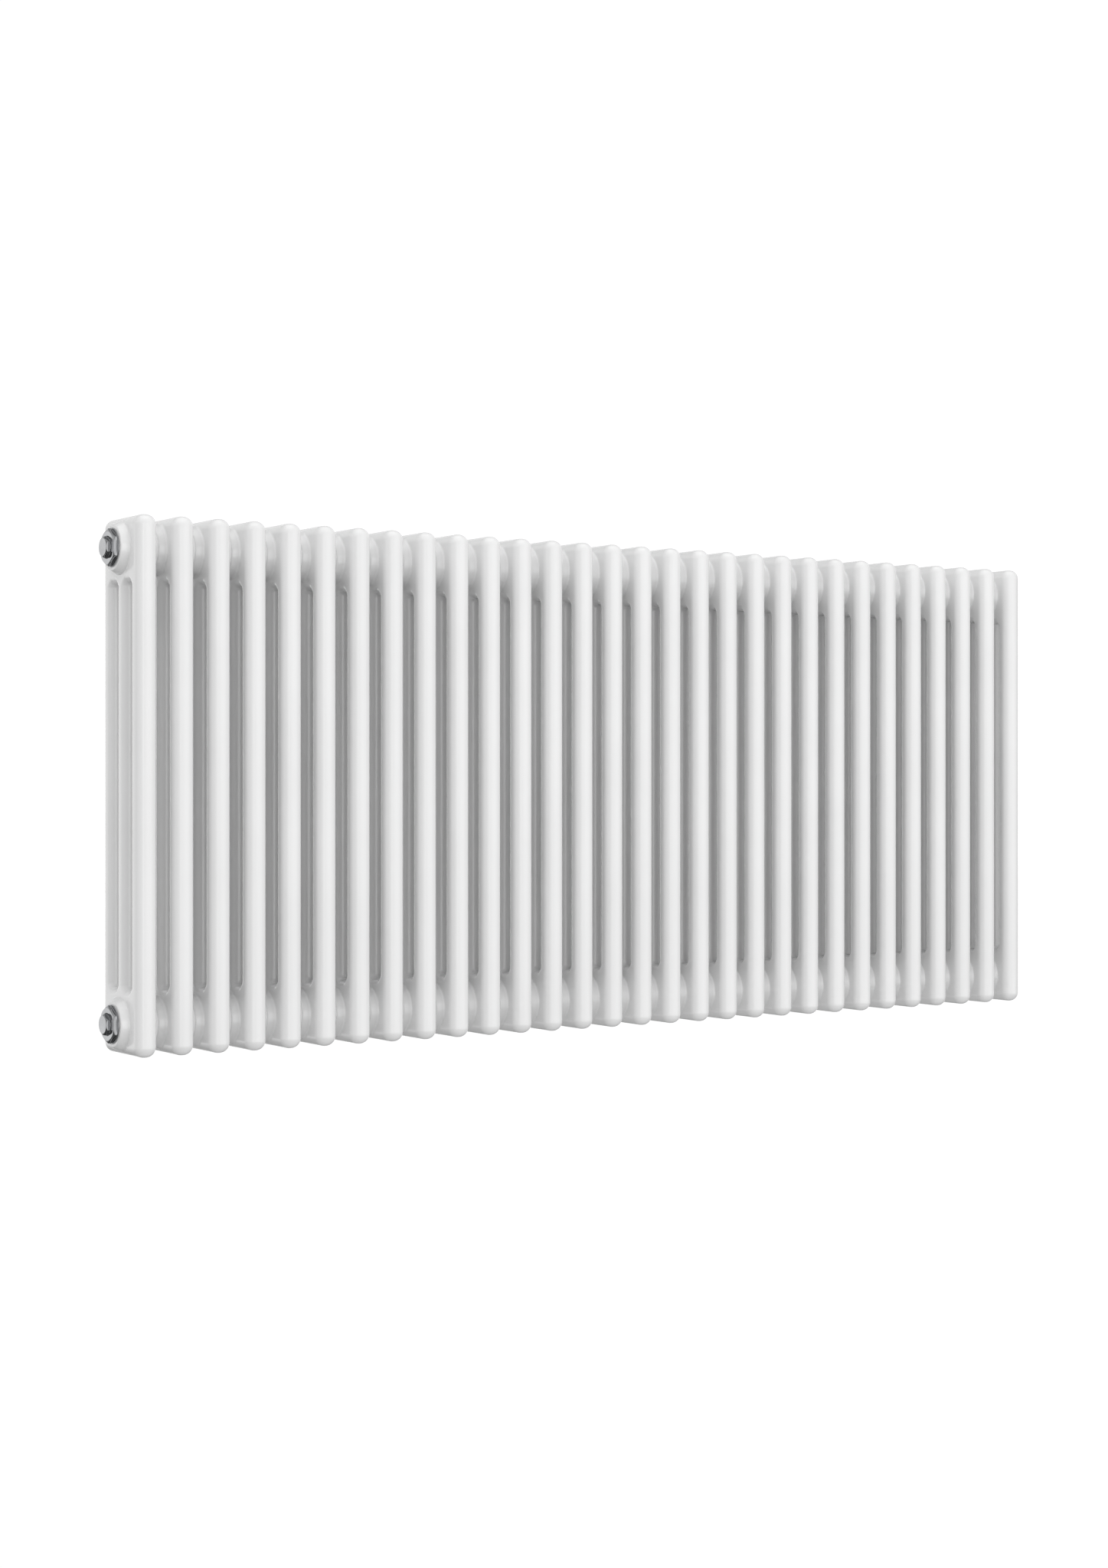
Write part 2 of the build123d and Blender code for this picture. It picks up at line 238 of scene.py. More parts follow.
# --------------------------------------------------------------------------
# Node graphs
# --------------------------------------------------------------------------
class Graph:
    """A few words for building node trees; inputs take numbers, colours or sockets."""

    def __init__(self, owner):
        owner.use_nodes = True
        self.tree = owner.node_tree
        self.tree.nodes.clear()

    def feed(self, value, socket):
        if isinstance(value, bpy.types.NodeSocket):
            self.tree.links.new(value, socket)
        elif isinstance(value, tuple):
            socket.default_value = (*value, 1.0)
        else:
            socket.default_value = value

    def fill(self, node, **inputs):
        """Feeds inputs by name, with _ for a space."""
        for key, value in inputs.items():
            self.feed(value, node.inputs[key.replace("_", " ")])

    def node(self, kind, **inputs):
        node = self.tree.nodes.new("ShaderNode" + kind)
        self.fill(node, **inputs)
        return node

    def calc(self, operation, *values, kind="Math"):
        node = self.node(kind)
        node.operation = operation
        for i, value in enumerate(values):
            self.feed(value, node.inputs[i])
        return node.outputs[0]

    def remap(self, value, low, high, start=0.0, end=1.0):
        """Takes low..high to start..end."""
        return self.node(
            "MapRange", From_Min=low, From_Max=high, To_Min=start, To_Max=end, Value=value
        ).outputs[0]

    def curve(self, stops, low, high, value):
        """Value to value, through straight lines between stops."""
        span = self.remap(value, low, high)
        node = self.node("ValToRGB", Fac=span)
        elements = node.color_ramp.elements
        while len(elements) > 1:
            elements.remove(elements[0])
        elements[0].position = 0.0
        elements[0].color = (stops[0][1],) * 3 + (1,)
        for place, level in stops[1:]:
            element = elements.new((place - low) / (high - low))
            element.color = (level, level, level, 1)
        return node.outputs["Color"]

    def for_rays(self, rays, special, usual):
        """special where rays is 1, usual where it is 0."""
        if isinstance(special, float) and isinstance(usual, float):
            change = special - usual
        else:
            change = self.calc("SUBTRACT", special, usual)
        return self.calc("ADD", self.calc("MULTIPLY", rays, change), usual)


class Paint(Graph):
    """A principled material whose noises follow the place of each piece in the row."""

    def __init__(self, name):
        self.material = bpy.data.materials.new(name)
        super().__init__(self.material)
        self.bsdf = self.node("BsdfPrincipled")
        self.node("OutputMaterial", Surface=self.bsdf.outputs[0])
        coord = self.node("TexCoord")
        info = self.node("ObjectInfo")
        self.place = self.calc(
            "ADD", coord.outputs["Object"], info.outputs["Location"], kind="VectorMath"
        )

    def noise(self, scale, detail, rough=0.5, stretch=None):
        vector = self.place
        if stretch:
            mapping = self.node("Mapping", Vector=vector)
            mapping.inputs["Scale"].default_value = stretch
            vector = mapping.outputs[0]
        return self.node(
            "TexNoise", Scale=scale, Detail=detail, Roughness=rough, Vector=vector
        ).outputs["Fac"]

    def patches(self, scale, detail, start=0.0, end=1.0, low=0.3, high=0.7, rough=0.5):
        """Noise between low and high spread over start..end."""
        return self.remap(self.noise(scale, detail, rough), low, high, start, end)

    def across(self, vector):
        """How far from the middle along X."""
        split = self.node("SeparateXYZ")
        self.feed(vector, split.inputs[0])
        return self.calc("ABSOLUTE", split.outputs[0], 0.0)

    def mix(self, factor, first, second):
        node = self.node("Mix")
        node.data_type = "RGBA"
        self.feed(factor, node.inputs["Factor"])
        # The colour sockets A, B and Result.
        self.feed(first, node.inputs[6])
        self.feed(second, node.inputs[7])
        return node.outputs[2]

    def bump(self, height, distance, under=None):
        node = self.node("Bump", Strength=1.0, Distance=distance, Height=height)
        if under is not None:
            self.fill(node, Normal=under)
        return node.outputs[0]

    def finish(self, **inputs):
        self.fill(self.bsdf, **inputs)
        return self.material


# --------------------------------------------------------------------------
# Materials
# --------------------------------------------------------------------------
ENAMEL_TONES = (0.79, 0.79, 0.79), (0.81, 0.81, 0.81)
ENAMEL_FLECK = (0.60, 0.60, 0.59)
# Painted shade: the darker base colour given to the hubs inside the joints.
ENAMEL_HUB_SHADE = (0.70, 0.70, 0.70)
HUB_SHADE_FADE = 0.0132, 0.0158      # metres from a section's middle where the painted hub shade fades in
HUB_SHADE_ROW_END = 0.663, 0.665    # metres from the row's middle where the painted hub shade stops


def enamel():
    """Gloss white powder paint: a faint orange peel under a clear gloss."""
    paint = Paint("white_enamel")
    base = paint.mix(paint.patches(9.0, 3.0, low=0.35, high=0.65), *ENAMEL_TONES)
    flecks = paint.patches(900.0, 2.0, end=0.10, low=0.72, high=0.8)
    base = paint.mix(flecks, base, ENAMEL_FLECK)
    # Painted shade: the base colour is darker on the hubs inside the joints, standing in for the
    # shade the neighbouring sections cast there; the hubs at the row's two ends keep the plain
    # colour.
    coord = paint.node("TexCoord")
    hub = paint.remap(paint.across(coord.outputs["Object"]), *HUB_SHADE_FADE)
    in_row = paint.remap(paint.across(paint.place), *HUB_SHADE_ROW_END, start=1.0, end=0.0)
    base = paint.mix(paint.calc("MULTIPLY", hub, in_row), base, ENAMEL_HUB_SHADE)
    wave = paint.bump(paint.noise(95.0, 1.0), distance=0.00006)
    peel = paint.bump(paint.noise(420.0, 1.5, rough=0.45), distance=0.000012, under=wave)
    return paint.finish(
        Base_Color=base,
        Roughness=paint.patches(35.0, 4.0, 0.34, 0.42),
        IOR=1.45,
        Coat_Weight=1.0,
        Coat_IOR=1.65,
        Coat_Roughness=paint.patches(60.0, 3.0, 0.045, 0.09),
        Normal=peel,
        Coat_Normal=peel,
    )


def chrome():
    """Bright plate with faint polishing lines and handling haze."""
    paint = Paint("chrome_plate")
    tone = paint.patches(60.0, 4.0, low=0.35)
    lines = paint.noise(500.0, 2.0, stretch=(6.0, 0.5, 0.5))
    return paint.finish(
        Base_Color=paint.mix(tone, (0.455, 0.46, 0.47), (0.40, 0.405, 0.415)),
        Metallic=1.0,
        Roughness=paint.patches(140.0, 5.0, 0.05, 0.15, low=0.35, high=0.75, rough=0.6),
        Normal=paint.bump(lines, distance=0.0000045),
    )


def rubber(name, pale, dark):
    paint = Paint(name)
    return paint.finish(
        Base_Color=paint.mix(paint.patches(300.0, 3.0), pale, dark),
        Roughness=paint.patches(700.0, 2.0, 0.55, 0.75),
        Normal=paint.bump(paint.noise(1500.0, 2.0), distance=0.00003),
    )


def plastic():
    paint = Paint("vent_plastic")
    return paint.finish(
        Base_Color=paint.mix(paint.patches(120.0, 3.0), (0.80, 0.80, 0.78), (0.74, 0.74, 0.72)),
        Roughness=paint.patches(500.0, 2.0, 0.30, 0.42),
        Normal=paint.bump(paint.noise(2600.0, 1.0), distance=0.00001),
    )


def metal(name, pale, dark, roughness, stretch):
    paint = Paint(name)
    return paint.finish(
        Base_Color=paint.mix(paint.patches(180.0, 4.0), pale, dark),
        Metallic=1.0,
        Roughness=paint.patches(400.0, 3.0, *roughness),
        Normal=paint.bump(paint.noise(700.0, 2.0, stretch=stretch), distance=0.00002),
    )


MATERIALS = {
    "white_enamel": enamel(),
    "chrome_fittings": chrome(),
    "nipple_steel": metal(
        "nipple_steel", pale=(0.50, 0.49, 0.47), dark=(0.38, 0.37, 0.36),
        roughness=(0.28, 0.42), stretch=(8.0, 0.6, 0.6),
    ),
    "gasket_rubber": rubber("gasket_rubber", pale=(0.10, 0.10, 0.10), dark=(0.07, 0.07, 0.07)),
    "painted_gasket": rubber("painted_gasket", pale=(0.70, 0.70, 0.70), dark=(0.62, 0.62, 0.62)),
    "vent_plastic": plastic(),
    "vent_brass": metal(
        "vent_brass", pale=(0.78, 0.60, 0.32), dark=(0.66, 0.48, 0.24),
        roughness=(0.18, 0.30), stretch=(6.0, 0.6, 0.6),
    ),
}


pieces = []


def add(name, mesh, material, node, at, turn=0.0, body="radiator", slot=None):
    """Places a mesh as the looks of one CAD node; the slot argument is not used."""
    obj = bpy.data.objects.new(name, mesh)
    bpy.context.scene.collection.objects.link(obj)
    obj.location = at
    obj.rotation_euler = (0, 0, turn)
    if not mesh.materials:
        mesh.materials.append(MATERIALS[material])
    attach(obj, body)
    slot or material
    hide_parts(node)
    pieces.append(obj)


# --------------------------------------------------------------------------
# Sections: two heads, mirrored top to bottom, joined by three straight tubes
# --------------------------------------------------------------------------
TUBE_R = 13.0
DEPTH_SPARE = 0.1          # left over from the CAD depth
COLUMN = (DEPTH - 2 * TUBE_R - DEPTH_SPARE) / 2    # spacing of the tubes along Y
TUBE_STEPS = 8

Z_WELD = HEIGHT - 100.0    # where the head meets the tubes
CROWN_R = 11.7

Z_ARCH = HEIGHT - 73.5     # top of the gap between the tubes
GAP_HALF = 5.5
GAP_CORNER_R = 1.0
# The gap's edge radius shrinks with height around the arch.
GAP_EDGE_R, GAP_EDGE_LOSS = 13.0, 5.0
EDGE_FADE_DROP, EDGE_FADE_RISE = 5.0, 8.0

HUB_R = 29.9
HUB_BORE = 20.25
HUB_TAPER_X, HUB_TAPER_LENGTH = 13.0, 9.4
HUB_TAPER, HUB_TAPER_POWER = 4.3, 1.25
HUB_FLATTEN = 0.85         # scales the hub's distance to suit its taper
HUB_EXTRA = 0.46           # past the CAD piece on each side
HUB_EDGE_R = 0.8
HUB_FILLET = 1.9

HEAD_HALF_X, HEAD_HALF_Y = 23.4, 51.4    # half of the meshed box
HEAD_CELL = 1.0
HEAD_KEEP = 0.5


def head_sdf(points):
    x, y, z = points.T
    x, y = np.abs(x), np.abs(y)
    plan = length(x, np.maximum(y - COLUMN, 0.0)) - TUBE_R
    body = round_and(plan, z - HEIGHT, CROWN_R)
    gap = -round_and(np.abs(y - COLUMN / 2) - GAP_HALF, z - Z_ARCH, GAP_CORNER_R)
    fade = smooth((z - (Z_ARCH - EDGE_FADE_DROP)) / EDGE_FADE_RISE)
    body = round_and(body, gap, GAP_EDGE_R - GAP_EDGE_LOSS * fade)
    radius = length(y, z - Z_HUB)
    # The hub swells towards the head and meets it in one crease.
    taper = np.clip((x - HUB_TAPER_X) / HUB_TAPER_LENGTH, 0.0, 1.0)
    hub = round_and(
        (radius - HUB_R + HUB_TAPER * taper ** HUB_TAPER_POWER) * HUB_FLATTEN,
        x - HUB_HALF - HUB_EXTRA,
        HUB_EDGE_R,
    )
    body = blend_or(body, hub, HUB_FILLET)
    return np.maximum(body, HUB_BORE - radius)


def open_head():
    """The top head cut open at the weld: points, faces and the edges of its rims."""
    points, faces = surface(
        head_sdf,
        (-HEAD_HALF_X, -HEAD_HALF_Y, Z_WELD - 3.0),
        (HEAD_HALF_X, HEAD_HALF_Y, HEIGHT + 1.4),
        HEAD_CELL,
    )
    mesh = thin_out(make_mesh("section", points, faces), HEAD_KEEP)
    head = bmesh.new()
    head.from_mesh(mesh)
    bpy.data.meshes.remove(mesh)
    bmesh.ops.bisect_plane(
        head, geom=head.verts[:] + head.edges[:] + head.faces[:], dist=1e-4,
        plane_co=(0, 0, Z_WELD), plane_no=(0, 0, -1), clear_outer=True,
    )
    bmesh.ops.remove_doubles(head, verts=head.verts, dist=0.05)
    head.verts.index_update()
    points = np.array([vert.co for vert in head.verts], float)
    faces = [[vert.index for vert in face.verts] for face in head.faces]
    rim = [
        [loop.vert.index, loop.link_loop_next.vert.index]
        for edge in head.edges if len(edge.link_faces) == 1
        for loop in edge.link_loops
    ]
    head.free()
    return points, faces, rim


def section_mesh():
    top, head_faces, rim = open_head()
    on_rim = np.zeros(len(top), bool)
    on_rim[np.array(rim).ravel()] = True
    top[~on_rim] = settle_points(head_sdf, top[~on_rim], 3, HEAD_CELL)
    normals = normals_of(head_sdf, top)
    # Rim points go exactly onto their tube.
    for i in np.nonzero(on_rim)[0]:
        tube_y = COLUMN * round(top[i, 1] / COLUMN)
        out = np.array([top[i, 0], top[i, 1] - tube_y, 0.0])
        out /= np.linalg.norm(out)
        top[i] = (TUBE_R * out[0], tube_y + TUBE_R * out[1], Z_WELD)
        normals[i] = out
    head_count = len(top)
    bottom = top.copy()
    bottom[:, 2] = HEIGHT - bottom[:, 2]
    all_points = [top, bottom]
    all_normals = [normals, normals * (1, 1, -1)]
    all_faces = head_faces + [[i + head_count for i in reversed(face)] for face in head_faces]

    # The tubes run from rim to rim; each ring maps a top rim point to its own.
    rim_ids = sorted(set(i for edge in rim for i in edge))
    rings = [{i: i for i in rim_ids}]
    count = 2 * head_count
    for step in range(1, TUBE_STEPS):
        ring = top[rim_ids].copy()
        ring[:, 2] = Z_WELD + (HEIGHT - 2 * Z_WELD) * step / TUBE_STEPS
        all_points.append(ring)
        all_normals.append(normals[rim_ids])
        rings.append({i: count + place for place, i in enumerate(rim_ids)})
        count += len(rim_ids)
    rings.append({i: i + head_count for i in rim_ids})
    for upper, lower in zip(rings, rings[1:]):
        for i, j in rim:
            all_faces.append([upper[j], upper[i], lower[i], lower[j]])
    mesh = make_mesh("section", np.concatenate(all_points) * MM, all_faces)
    shade_from(mesh, np.concatenate(all_normals))
    return mesh


section = section_mesh()
for name, x in zip(SECTIONS, CENTRES):
    add("enamelled_" + name, section, "white_enamel", name, at=(x * MM, 0, 0))


# --------------------------------------------------------------------------
# Shapes for the end fittings, which lie along X and point to +X
# --------------------------------------------------------------------------
COS_45 = 0.707


def polar(points):
    x, y, z = points.T
    return x, y, z, length(y, z)


def between(value, start, end):
    return np.abs(value - (start + end) / 2) - (end - start) / 2


def rod(x, radius, size, start=-np.inf, end=np.inf):
    """Round bar of radius size with sharp edges."""
    return np.maximum(np.maximum(radius - size, start - x), x - end)


def rounded_rod(x, radius, size, start, end, edge):
    return round_and(radius - size, between(x, start, end), edge)


def cone(x, radius, size, at):
    """45 degree cone that widens towards +X and has radius size at one place."""
    return (radius - size - (x - at)) * COS_45


def hexagon(points, across, edge):
    """Hexagonal bar along X with its corners up and down and rounded."""
    _, y, z = points.T
    flat = across / 2
    bar = np.abs(y) - flat
    for degrees in (60, 120):
        cos, sin = math.cos(math.radians(degrees)), math.sin(math.radians(degrees))
        bar = round_and(bar, np.abs(y * cos + z * sin) - flat, edge)
    return bar


def thread(points, crest, pitch, depth):
    """Radius of a screw thread; depth is positive in a hole, negative on a stem."""
    x, y, z = points.T
    turn = np.arctan2(z, y) / (2 * math.pi)
    phase = (x / pitch + turn) % 1.0
    wave = np.abs(2 * phase - 1)                   # 0 at the groove, 1 at the crest
    return crest + depth * np.clip(1.15 * (1 - wave) - 0.12, 0.0, 0.85)


# --------------------------------------------------------------------------
# End fittings, with x measured from the end section's own axis
# --------------------------------------------------------------------------
BUSH_START, BUSH_END = 9.0, 28.4
BUSH_PITCH = 2.309
FLANGE_X, FLANGE_R = 22.6, 22.0
SEAT_X = 27.0                      # floor of the bush's recess for a plug's seal

PLUG_START, PLUG_END = 16.8, 33.6
PLUG_PITCH = 1.814
PLUG_THREAD_DEPTH = 1.0
COLLAR_X = 27.8

POCKET_X = 31.4                    # floor of the vent's pocket
NOZZLE_START, NOZZLE_END = 31.5, 33.5
NOTCHES, NOTCH_HALF = 24, 0.28
SMALL_HOLE_DROP = 6.1              # below the nozzle's axis

SCREW_START, SCREW_END = 21.4, 33.2
SCREW_PITCH = 1.0
SCREW_STEM_END = 29.6
KEY_HALF = 2.5                     # half the screw's square head
TIP_START, TIP_END = 20.0, 23.4

SDF_SCALE = 0.9                    # evens out the distances of the cut pieces


def bush_sdf(points):
    x, _, _, radius = polar(points)
    outside = thread(points, crest=20.2, pitch=BUSH_PITCH, depth=-1.1)
    sleeve = rod(x, radius, outside, start=BUSH_START, end=23.2)
    sleeve = np.maximum(sleeve, cone(x, radius, size=19.2, at=BUSH_START))
    flange = rounded_rod(x, radius, FLANGE_R, start=FLANGE_X, end=23.75, edge=0.4)
    # A 30 degree cone takes the corners off the hexagon's outer end.
    slope = math.radians(30)
    chamfer = (x - BUSH_END) * math.cos(slope) + (radius - 18.3) * math.sin(slope)
    end = round_and(chamfer, x - BUSH_END, 0.5)
    hexa = round_and(hexagon(points, across=37.0, edge=0.55), end, 0.45)
    hexa = np.maximum(hexa, 23.1 - x)
    body = np.minimum(sleeve, blend_or(flange, hexa, 0.8))
    hole = radius - thread(points, crest=9.3155, pitch=PLUG_PITCH, depth=PLUG_THREAD_DEPTH)
    hole = np.minimum(hole, cone(x, radius, size=10.6, at=26.0))
    hole = np.minimum(hole, rod(x, radius, 11.3, start=SEAT_X))
    return np.maximum(body, -hole) * SDF_SCALE


def plug_body(points):
    """Threaded stem, collar and hexagon, shared by the plug and the vent."""
    x, _, _, radius = polar(points)
    outside = thread(points, crest=9.28, pitch=PLUG_PITCH, depth=-PLUG_THREAD_DEPTH)
    stem = rod(x, radius, outside, start=PLUG_START, end=28.2)
    collar = rounded_rod(x, radius, 11.9, start=COLLAR_X, end=28.85, edge=0.12)
    chamfer = ((x - PLUG_END) + (radius - 10.2)) * 0.7071
    ends = round_and(round_and(chamfer, x - PLUG_END, 0.4), 28.8 - x, 0.15)
    hexa = round_and(hexagon(points, across=21.0, edge=0.5), ends, 0.35)
    return np.minimum(np.minimum(stem, collar), hexa)


def plug_sdf(points):
    x, _, _, radius = polar(points)
    hollow = rod(x, radius, 6.5, end=23.8)
    return np.maximum(plug_body(points), -hollow) * SDF_SCALE


def vent_sdf(points):
    x, _, _, radius = polar(points)
    inside = thread(points, crest=3.0, pitch=SCREW_PITCH, depth=0.45)
    lip = np.maximum(cone(x, radius, size=8.55, at=PLUG_END), 32.6 - x)
    hole = radius - 1.25
    for part in (
        rod(x, radius, 8.2, start=POCKET_X),
        rod(x, radius, 8.75, start=POCKET_X, end=32.3),
        rod(x, radius, 4.2, start=29.0),
        rod(x, radius, inside, start=20.0),
        lip,
    ):
        hole = np.minimum(hole, part)
    return np.maximum(plug_body(points), -hole) * SDF_SCALE


def nozzle_sdf(points):
    x, y, z, radius = polar(points)
    disc = rounded_rod(x, radius, 8.1, start=NOZZLE_START, end=NOZZLE_END, edge=0.35)
    rim = rounded_rod(x, radius, 8.62, start=NOZZLE_START, end=32.2, edge=0.15)
    body = np.minimum(disc, rim)
    mouth = np.maximum(cone(x, radius, size=4.5, at=NOZZLE_END), 32.4 - x)
    body = np.maximum(body, -np.minimum(radius - 4.05, mouth))
    # A ring groove in the inner face, and a small hole with a flared mouth below the axis.
    groove = np.maximum(np.abs(radius - 6.2) - 1.2, x - 32.2)
    off_hole = length(y, z + SMALL_HOLE_DROP)
    small_hole = np.minimum(
        off_hole - 0.85, np.maximum(off_hole - 0.9 - (x - 33.1), 32.8 - x) * COS_45
    )
    # Shallow radial notches round the outer face.
    turn = np.arctan2(z, y) * NOTCHES / (2 * math.pi)
    off_notch = np.abs((turn % 1.0) - 0.5) * radius * 2 * math.pi / NOTCHES
    notch = np.maximum(np.maximum(off_notch - NOTCH_HALF, 33.2 - x), 7.25 - radius)
    return np.maximum(body, -np.minimum(np.minimum(groove, small_hole), notch)) * SDF_SCALE


def screw_sdf(points):
    x, y, z, radius = polar(points)
    outside = thread(points, crest=2.95, pitch=SCREW_PITCH, depth=-0.4)
    stem = rod(x, radius, outside, start=SCREW_START, end=SCREW_STEM_END)
    stem = np.maximum(stem, cone(x, radius, size=2.45, at=SCREW_START))
    key = round_and(np.abs(y) - KEY_HALF, np.abs(z) - KEY_HALF, 0.25)
    end = round_and((x - 32.2) * COS_45 + (radius - 3.1) * COS_45, x - SCREW_END, 0.25)
    key = np.maximum(round_and(key, end, 0.2), 29.4 - x)
    body = np.minimum(stem, key)
    pocket = rod(x, radius, 1.05, end=23.6)
    # A narrow flat along the top of the stem.
    flat = np.maximum(np.maximum(2.15 - z, np.abs(y) - 1.0), x - SCREW_STEM_END)
    return np.maximum(body, -np.minimum(pocket, flat)) * SDF_SCALE


def tip_sdf(points):
    x, _, _, radius = polar(points)
    return np.minimum(
        rounded_rod(x, radius, 2.1, start=TIP_START, end=21.4, edge=0.3),
        rounded_rod(x, radius, 1.0, start=21.0, end=TIP_END, edge=0.2),
    )


def fitting_mesh(name, sdf, start, end, reach, cell, keep):
    """Meshes a fitting from start to end along X and out to reach from its axis."""
    margin = 2 * cell + 0.05
    side = reach + margin
    points, faces = surface(
        sdf, (start - margin, -side, -side), (end + margin, side, side), cell
    )
    mesh = thin_out(make_mesh(name, points, faces), keep)
    points = settle_points(sdf, points_of(mesh), 3, cell)
    # Stored once before scaling, so that the points take the mesh's precision.
    move_points(mesh, points)
    move_points(mesh, points_of(mesh) * MM)
    shade_from(mesh, normals_of(sdf, points))
    return mesh


def seal_mesh(name, start, end, inner, outer, edge, reach):
    def sdf(points):
        x, _, _, radius = polar(points)
        return round_and(between(radius, inner, outer), between(x, start, end), edge)
    return fitting_mesh(name, sdf, start, end, reach, cell=0.2, keep=0.5)


bush_mesh = fitting_mesh(
    "reducing_bush", bush_sdf, BUSH_START, BUSH_END, reach=22.1, cell=0.42, keep=0.6)
plug_mesh = fitting_mesh(
    "blank_plug", plug_sdf, PLUG_START, PLUG_END, reach=12.2, cell=0.30, keep=0.6)
vent_mesh = fitting_mesh(
    "air_vent", vent_sdf, PLUG_START, PLUG_END, reach=12.2, cell=0.25, keep=0.6)
nozzle_mesh = fitting_mesh(
    "nozzle", nozzle_sdf, NOZZLE_START, NOZZLE_END, reach=8.7, cell=0.13, keep=0.5)
screw_mesh = fitting_mesh(
    "screw", screw_sdf, SCREW_START, SCREW_END, reach=3.7, cell=0.12, keep=0.5)
tip_mesh = fitting_mesh(
    "screw_tip", tip_sdf, TIP_START, TIP_END, reach=2.2, cell=0.14, keep=0.7)
bush_seal_mesh = seal_mesh(
    "bush_seal", 22.0, FLANGE_X, inner=20.3, outer=21.8, edge=0.2, reach=21.9)
plug_seal_mesh = seal_mesh(
    "plug_seal", SEAT_X, COLLAR_X, inner=9.4, outer=11.1, edge=0.25, reach=11.2)

for corner, right, z in (
    ("top_left", False, Z_HUB),
    ("bottom_left", False, HUB_DROP),
    ("top_right", True, Z_HUB),
    ("bottom_right", True, HUB_DROP),
):
    place = {
        "at": (CENTRES[-1 if right else 0] * MM, 0, z * MM),
        "turn": 0.0 if right else math.pi,
    }
    node = corner + "_reducing_bush"
    add("plated_" + node, bush_mesh, "chrome_fittings", node, **place)
    node = corner + "_bush_gasket"
    add("moulded_" + node, bush_seal_mesh, "painted_gasket", node, slot="gasket_rubber", **place)
    if not right:
        node = corner + "_blank_plug"
        add("plated_" + node, plug_mesh, "chrome_fittings", node, **place)
        node = corner + "_plug_seal"
        add("moulded_" + node, plug_seal_mesh, "gasket_rubber", node, **place)

vent_at = (CENTRES[-1] * MM, 0, Z_HUB * MM)
for name, mesh, material, node, body in (
    ("plated_air_vent_body", vent_mesh, "chrome_fittings", "air_vent_body", "radiator"),
    ("moulded_air_vent_seal", plug_seal_mesh, "gasket_rubber", "air_vent_seal", "radiator"),
    ("moulded_vent_nozzle", nozzle_mesh, "vent_plastic", "air_vent_nozzle", "vent_nozzle"),
    ("turned_bleed_screw", screw_mesh, "vent_brass", "bleed_screw", "screw"),
    ("moulded_screw_tip", tip_mesh, "gasket_rubber", "bleed_screw_tip", "screw_lift"),
):
    add(name, mesh, material, node, at=vent_at, body=body)

# Inside the joints the CAD pieces are shown as they are, with these materials.
JOINT_MATERIALS = {
    "top_joint_nipples": "nipple_steel",
    "bottom_joint_nipples": "nipple_steel",
    "top_joint_gaskets": "painted_gasket",
    "bottom_joint_gaskets": "painted_gasket",
}
for node, material in JOINT_MATERIALS.items():
    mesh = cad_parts[node].data
    mesh.materials.clear()
    mesh.materials.append(MATERIALS[material])


# --------------------------------------------------------------------------
# Studio: everything is white to the camera.  Gloss and plate see a room with a
# bright back wall, a strip light by the camera, a broad light in front, a
# bright ceiling and a dark floor.
# --------------------------------------------------------------------------
ROOM = 0.72            # even light on everything
ROOM_BACK = 0.58       # the same from behind, where the wall is
FLOOR_LIGHT = 0.66     # what the floor gives back to the underside
CAMERA_ROOM, CAMERA_FLOOR = 1.05, 1.02    # what the camera sees

# Brightness in reflections
BACK, SIDE, STRIP, FRONT = 1.10, 0.36, 1.5, 1.05
CEILING, UPPER, LOWER = 0.80, 0.40, 0.12
HIGH_BACK = 0.78       # the wall above the ring

# Azimuth in degrees, 0 is the front and -90 the left; brightness
RING = (
    (-180, BACK), (-121, BACK), (-117, SIDE), (-60, SIDE), (-40, 0.50),
    (-37, STRIP), (-27, STRIP), (-23, 0.75), (-10, 0.75), (-6, FRONT),
    (57, FRONT), (60, 0.45), (116, 0.40), (121, BACK), (180, BACK),
)
# Height of the direction (sine); brightness, or ON_RING where the ring shows
ON_RING = -1
LOW_BANDS = ((-1.0, LOWER), (-0.42, LOWER), (-0.17, ON_RING))
HIGH_BANDS = ((0.895, UPPER), (0.91, CEILING), (1.0, CEILING))
RISE = LOW_BANDS + ((0.17, ON_RING), (0.36, UPPER)) + HIGH_BANDS
RISE_BACK = LOW_BANDS + (
    (0.10, ON_RING), (0.17, HIGH_BACK), (0.46, HIGH_BACK), (0.58, UPPER),
) + HIGH_BANDS

FLOOR_HALF, FLOOR_Z = 8.0, -0.15
AIM = Vector((0, 0, 0.3))          # where the softboxes point
CAMERA_AT = (-1.7925, -2.568, 0.3021)
CAMERA_HEADING = 33.63             # degrees from +Y towards +X


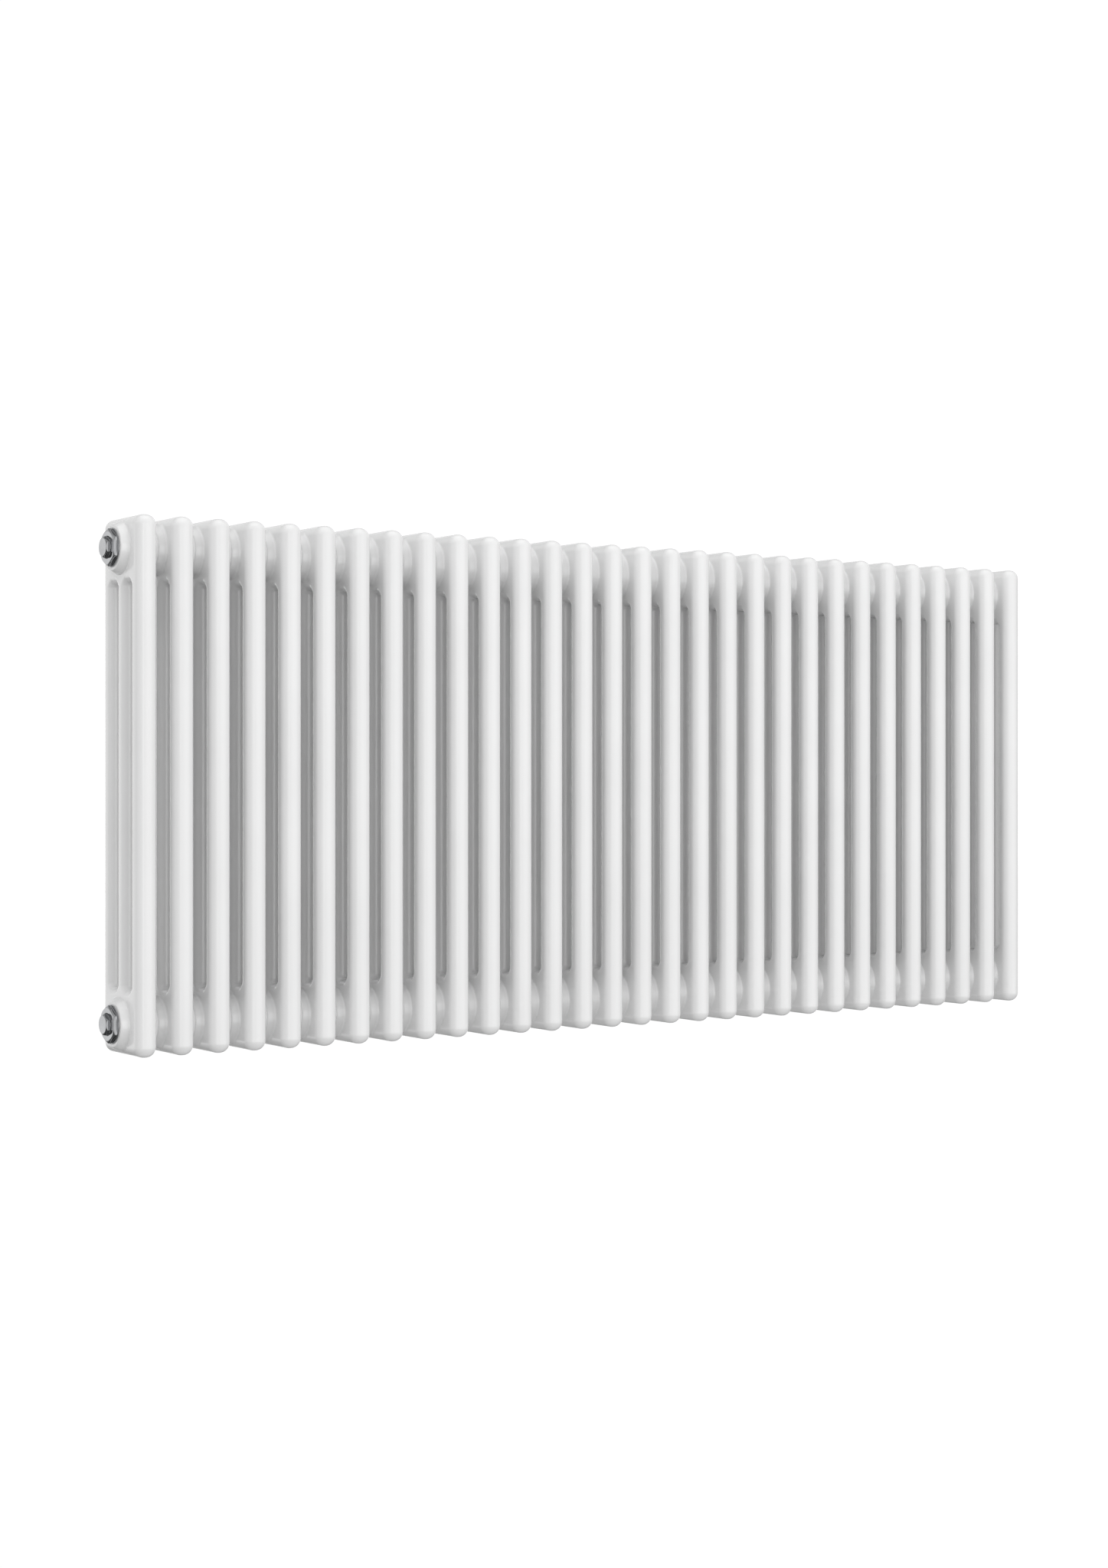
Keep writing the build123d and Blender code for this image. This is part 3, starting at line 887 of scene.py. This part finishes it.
def build_world():
    world = bpy.data.worlds.new("studio")
    bpy.context.scene.world = world
    graph = Graph(world)
    calc = graph.calc
    rays = graph.node("LightPath").outputs
    split = graph.node("SeparateXYZ")
    graph.feed(graph.node("TexCoord").outputs["Generated"], split.inputs[0])
    x, y, z = split.outputs
    azimuth = calc("MULTIPLY", calc("ARCTAN2", x, calc("MULTIPLY", y, -1.0)), 180 / math.pi)
    ring = graph.curve(RING, -180, 180, azimuth)

    def above(rise):
        """The ring near the horizon, and the bands above and below it."""
        bands = tuple((height, max(level, 0.0)) for height, level in rise)
        bands = graph.curve(bands, -1.0, 1.0, z)
        on_ring = tuple((height, 1.0 if level == ON_RING else 0.0) for height, level in rise)
        on_ring = graph.curve(on_ring, -1.0, 1.0, z)
        return calc("ADD", calc("MULTIPLY", ring, on_ring), bands)

    # Behind the radiator the wall goes on above the ring.
    behind = graph.curve(((-1.0, 0.0), (0.0, 0.0), (0.25, 1.0), (1.0, 1.0)), -1.0, 1.0, y)
    front, back = above(RISE), above(RISE_BACK)
    mirrored = calc("ADD", front, calc("MULTIPLY", behind, calc("SUBTRACT", back, front)))
    room = graph.curve(
        ((-1.0, ROOM), (-0.15, ROOM), (0.35, ROOM_BACK), (1.0, ROOM_BACK)), -1.0, 1.0, y
    )
    light = graph.for_rays(rays["Is Glossy Ray"], mirrored, room)
    light = graph.for_rays(rays["Is Camera Ray"], CAMERA_ROOM, light)
    ground = graph.node("Background", Color=(1, 1, 1), Strength=light)
    graph.node("OutputWorld", Surface=ground.outputs[0])


def build_floor():
    """Pale and even, and white where the camera sees it."""
    material = bpy.data.materials.new("studio_floor")
    graph = Graph(material)
    rays = graph.node("LightPath").outputs
    light = graph.for_rays(rays["Is Glossy Ray"], LOWER, FLOOR_LIGHT)
    light = graph.for_rays(rays["Is Camera Ray"], CAMERA_FLOOR, light)
    glow = graph.node("Emission", Strength=light)
    graph.node("OutputMaterial", Surface=glow.outputs[0])
    mesh = bpy.data.meshes.new("floor")
    outline = [(x * FLOOR_HALF, y * FLOOR_HALF, 0) for x, y in ((-1, -1), (1, -1), (1, 1), (-1, 1))]
    mesh.from_pydata(outline, [], [(0, 1, 2, 3)])
    mesh.materials.append(material)
    floor = bpy.data.objects.new("studio_floor", mesh)
    floor.location = (0, 0, FLOOR_Z)
    floor.visible_glossy = False
    bpy.context.scene.collection.objects.link(floor)


def softbox(name, azimuth, elevation, distance, size, power):
    """Area light aimed at AIM; angles in degrees, azimuth as in RING."""
    light = bpy.data.lights.new(name, "AREA")
    light.shape = "RECTANGLE"
    light.size, light.size_y = size
    light.energy = power
    obj = bpy.data.objects.new(name, light)
    around, rise = math.radians(azimuth), math.radians(elevation)
    where = Vector((
        distance * math.cos(rise) * math.sin(around),
        -distance * math.cos(rise) * math.cos(around),
        0.3 + distance * math.sin(rise),
    ))
    obj.location = where
    obj.rotation_euler = (AIM - where).to_track_quat("-Z", "Y").to_euler()
    obj.visible_glossy = False
    obj.visible_camera = False
    bpy.context.scene.collection.objects.link(obj)


def build_camera():
    scene = bpy.context.scene
    camera = bpy.data.cameras.new("camera")
    camera.sensor_width = 36.0
    camera.lens = 56.94
    camera.clip_start = 0.05
    camera.clip_end = 60
    obj = bpy.data.objects.new("camera", camera)
    obj.location = CAMERA_AT
    heading = math.radians(CAMERA_HEADING)
    toward = Vector((math.sin(heading), math.cos(heading), 0))
    obj.rotation_euler = toward.to_track_quat("-Z", "Y").to_euler()
    scene.collection.objects.link(obj)
    scene.camera = obj


build_world()
build_floor()
softbox("front", azimuth=4, elevation=12, distance=4.2, size=(3.0, 2.2), power=62)
softbox("overhead", azimuth=0, elevation=82, distance=2.8, size=(3.0, 1.6), power=15)
softbox("upper_left", azimuth=-75, elevation=50, distance=3.6, size=(1.6, 1.6), power=18)

view = bpy.context.scene.view_settings
view.view_transform = "Standard"
view.look = "None"
view.exposure = 0.0
view.gamma = 1.0

build_camera()


# --------------------------------------------------------------------------
# Sizes of the frame and of the looks
# --------------------------------------------------------------------------
bpy.context.view_layer.update()
low, high = Vector((1e9,) * 3), Vector((-1e9,) * 3)
for obj in pieces + [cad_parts[node] for node in JOINT_MATERIALS]:
    for corner in obj.bound_box:
        point = obj.matrix_world @ Vector(corner)
        low = Vector(map(min, low, point))
        high = Vector(map(max, high, point))
